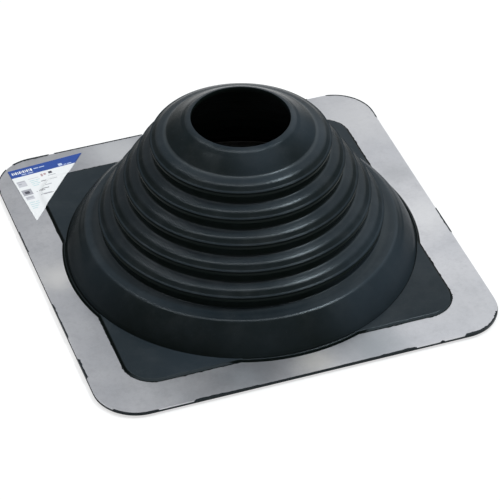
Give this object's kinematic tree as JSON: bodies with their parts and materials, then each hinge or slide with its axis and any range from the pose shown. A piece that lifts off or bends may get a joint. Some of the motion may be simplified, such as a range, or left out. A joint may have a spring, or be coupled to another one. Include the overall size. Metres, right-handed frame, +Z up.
{
  "type": "pipe flashing boot",
  "caption": "Stepped rubber cone with a square metal-edged base that seals a pipe passing through a roof sheet.",
  "frame": {"origin": "on the axis of the cone, at the level the base rests on", "axes": "+Z up the cone towards the mouth, +X and +Y square with the sides of the base, the sticker in the -X +Y corner"},
  "size_m": [0.254, 0.254, 0.1013],
  "materials": {
    "rubber": "matt moulded, blue-black",
    "aluminium": "satin mill finish, soft sheet",
    "sticker": "printed, white with a blue band"
  },
  "bodies": {
    "root": {"rubber_boot": "rubber", "metal_frame": "aluminium", "label": "sticker"}
  },
  "joints": []
}
